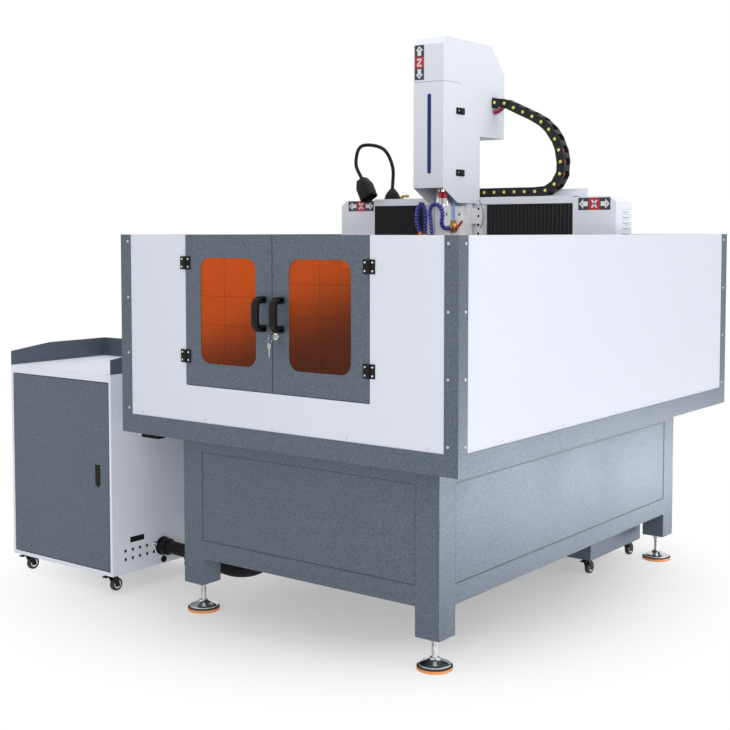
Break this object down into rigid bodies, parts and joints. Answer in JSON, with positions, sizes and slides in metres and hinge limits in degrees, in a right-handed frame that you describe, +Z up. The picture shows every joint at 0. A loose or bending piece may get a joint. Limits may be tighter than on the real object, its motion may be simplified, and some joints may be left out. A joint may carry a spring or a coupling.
{
  "type": "cnc engraving machine",
  "caption": "Enclosed moving-table engraving machine with bridge gantry, spindle tower, cable chain, tinted double doors and a caster-mounted control cabinet joined by conduit",
  "frame": {"origin": "floor point under the middle of the whole outfit's bounding box", "axes": "+X to the operator's right, +Y away from the door side, +Z up"},
  "size_m": [2.19, 2.066, 2.08],
  "materials": {
    "hammer_paint": "slate grey hammer paint, semi-gloss",
    "white_paint": "white powder coat",
    "cast_grey": "painted casting",
    "rail_steel": "ground steel",
    "table_iron": "machined cast iron",
    "bellows_black": "coated fabric, matt",
    "chain_black": "glass-filled nylon",
    "amber_window": "amber polycarbonate",
    "blue_window": "blue acrylic",
    "bright_metal": "nickel plate",
    "black_plastic": "moulded plastic",
    "motor_black": "black paint",
    "alloy": "anodised",
    "brass": "cast brass",
    "red_lever": "dipped vinyl",
    "blue_hose": "segmented acetal",
    "rubber_pad": "vulcanised rubber",
    "tyre_black": "moulded rubber",
    "conduit_black": "corrugated plastic conduit",
    "zinc": "zinc plate"
  },
  "bodies": {
    "machine": {"base_frame": "hammer_paint", "foot_pads": "rubber_pad", "levelling_feet": "zinc", "drip_tray": "hammer_paint", "corner_posts": "hammer_paint", "front_panel": "white_paint", "side_panels": "white_paint", "rear_panel": "white_paint", "hinge_leaves": "black_plastic", "machine_bed": "cast_grey", "linear_rails": "rail_steel", "feed_motors": "motor_black", "way_cover_front": "bellows_black", "way_cover_rear": "bellows_black", "gantry_portal": "hammer_paint", "beam_covers": "white_paint", "bellows_left": "bellows_black", "bellows_right": "bellows_black", "work_lamp": "black_plastic", "drag_chain": "chain_black", "cabinet_body": "white_paint", "cabinet_rim": "hammer_paint", "control_plate": "zinc", "caster_plates": "zinc", "conduit_glands": "black_plastic", "conduit": "conduit_black", "coolant_tank": "hammer_paint", "tank_casters": "tyre_black"},
    "left_leaf": {"left_door": "hammer_paint", "left_window": "amber_window", "left_fittings": "black_plastic"},
    "right_leaf": {"right_door": "hammer_paint", "right_window": "amber_window", "right_fittings": "black_plastic"},
    "key": {"door_key": "bright_metal"},
    "table": {"work_table": "table_iron"},
    "y_screw": {"y_ball_screw": "rail_steel"},
    "x_screw": {"x_ball_screw": "rail_steel"},
    "x_carriage": {"x_saddle": "cast_grey", "z_motor": "motor_black", "tower_cover": "white_paint", "tower_front_cover": "white_paint", "level_strip": "blue_window"},
    "z_screw": {"z_ball_screw": "rail_steel"},
    "z_carriage": {"z_plate": "alloy", "spindle_motor": "bright_metal", "coolant_valve": "brass", "coolant_hoses": "blue_hose"},
    "spindle": {"spindle_shaft": "rail_steel"},
    "lever": {"valve_lever": "red_lever"},
    "cabinet_leaf": {"cabinet_door": "hammer_paint"},
    "latch": {"cabinet_latch": "black_plastic"},
    "fork_front_left": {"caster_fork_front_left": "black_plastic"},
    "wheel_front_left": {"caster_wheel_front_left": "tyre_black"},
    "fork_front_right": {"caster_fork_front_right": "black_plastic"},
    "wheel_front_right": {"caster_wheel_front_right": "tyre_black"},
    "fork_rear_left": {"caster_fork_rear_left": "black_plastic"},
    "wheel_rear_left": {"caster_wheel_rear_left": "tyre_black"},
    "fork_rear_right": {"caster_fork_rear_right": "black_plastic"},
    "wheel_rear_right": {"caster_wheel_rear_right": "tyre_black"}
  },
  "joints": [
    {"name": "y_slide", "type": "slide", "parent": "machine", "child": "table", "axis": [0, 1, 0], "range_m": [-0.4, 0.4], "deforming": ["way_cover_front", "way_cover_rear"]},
    {"name": "y_screw_turn", "type": "hinge", "parent": "machine", "child": "y_screw", "pos_m": [0.385, 0.023, 0.785], "axis": [0, 1, 0], "range_deg": [-14436, 14436]},
    {"name": "x_slide", "type": "slide", "parent": "machine", "child": "x_carriage", "axis": [1, 0, 0], "range_m": [-0.3, 0.3], "deforming": ["bellows_left", "bellows_right", "drag_chain"]},
    {"name": "x_screw_turn", "type": "hinge", "parent": "machine", "child": "x_screw", "pos_m": [0.385, 0.199, 1.335], "axis": [1, 0, 0], "range_deg": [-10836, 10836]},
    {"name": "z_slide", "type": "slide", "parent": "x_carriage", "child": "z_carriage", "axis": [0, 0, 1], "range_m": [-0.25, 0]},
    {"name": "z_screw_turn", "type": "hinge", "parent": "x_carriage", "child": "z_screw", "pos_m": [0.385, 0.112, 1.5], "axis": [0, 0, 1], "range_deg": [-9036, 36]},
    {"name": "spindle_spin", "type": "hinge", "parent": "z_carriage", "child": "spindle", "pos_m": [0.385, -0.002, 1.19], "axis": [0, 0, 1], "continuous": true},
    {"name": "lever_turn", "type": "hinge", "parent": "z_carriage", "child": "lever", "pos_m": [0.4483, -0.0145, 1.374], "axis": [1, 0, 0], "range_deg": [-90, 0]},
    {"name": "left_door_swing", "type": "hinge", "parent": "machine", "child": "left_leaf", "pos_m": [-0.0045, -0.99, 1.097], "axis": [0, 0, -1], "range_deg": [0, 110]},
    {"name": "right_door_swing", "type": "hinge", "parent": "machine", "child": "right_leaf", "pos_m": [0.7745, -0.99, 1.097], "axis": [0, 0, 1], "range_deg": [0, 110]},
    {"name": "key_turn", "type": "hinge", "parent": "right_leaf", "child": "key", "pos_m": [0.402, -0.985, 1.026], "axis": [0, 1, 0], "range_deg": [0, 90]},
    {"name": "cabinet_door_swing", "type": "hinge", "parent": "machine", "child": "cabinet_leaf", "pos_m": [-1.075, -0.882, 0.45], "axis": [0, 0, -1], "range_deg": [0, 100]},
    {"name": "latch_turn", "type": "hinge", "parent": "cabinet_leaf", "child": "latch", "pos_m": [-0.581, -0.8822, 0.4795], "axis": [-1, 0, 0], "range_deg": [0, 45]},
    {"name": "swivel_front_left", "type": "hinge", "parent": "machine", "child": "fork_front_left", "pos_m": [-1.049, -0.847, 0.06], "axis": [0, 0, 1], "continuous": true},
    {"name": "roll_front_left", "type": "hinge", "parent": "fork_front_left", "child": "wheel_front_left", "pos_m": [-1.049, -0.831, 0.025], "axis": [1, 0, 0], "continuous": true},
    {"name": "swivel_front_right", "type": "hinge", "parent": "machine", "child": "fork_front_right", "pos_m": [-0.549, -0.847, 0.06], "axis": [0, 0, 1], "continuous": true},
    {"name": "roll_front_right", "type": "hinge", "parent": "fork_front_right", "child": "wheel_front_right", "pos_m": [-0.549, -0.831, 0.025], "axis": [1, 0, 0], "continuous": true},
    {"name": "swivel_rear_left", "type": "hinge", "parent": "machine", "child": "fork_rear_left", "pos_m": [-1.049, -0.458, 0.06], "axis": [0, 0, 1], "continuous": true},
    {"name": "roll_rear_left", "type": "hinge", "parent": "fork_rear_left", "child": "wheel_rear_left", "pos_m": [-1.049, -0.442, 0.025], "axis": [1, 0, 0], "continuous": true},
    {"name": "swivel_rear_right", "type": "hinge", "parent": "machine", "child": "fork_rear_right", "pos_m": [-0.549, -0.458, 0.06], "axis": [0, 0, 1], "continuous": true},
    {"name": "roll_rear_right", "type": "hinge", "parent": "fork_rear_right", "child": "wheel_rear_right", "pos_m": [-0.549, -0.442, 0.025], "axis": [1, 0, 0], "continuous": true}
  ],
  "couplings": [
    {"joint": "y_screw_turn", "follows": "y_slide", "rad_per_m": 628.32},
    {"joint": "x_screw_turn", "follows": "x_slide", "rad_per_m": 628.32},
    {"joint": "z_screw_turn", "follows": "z_slide", "rad_per_m": 628.32}
  ]
}
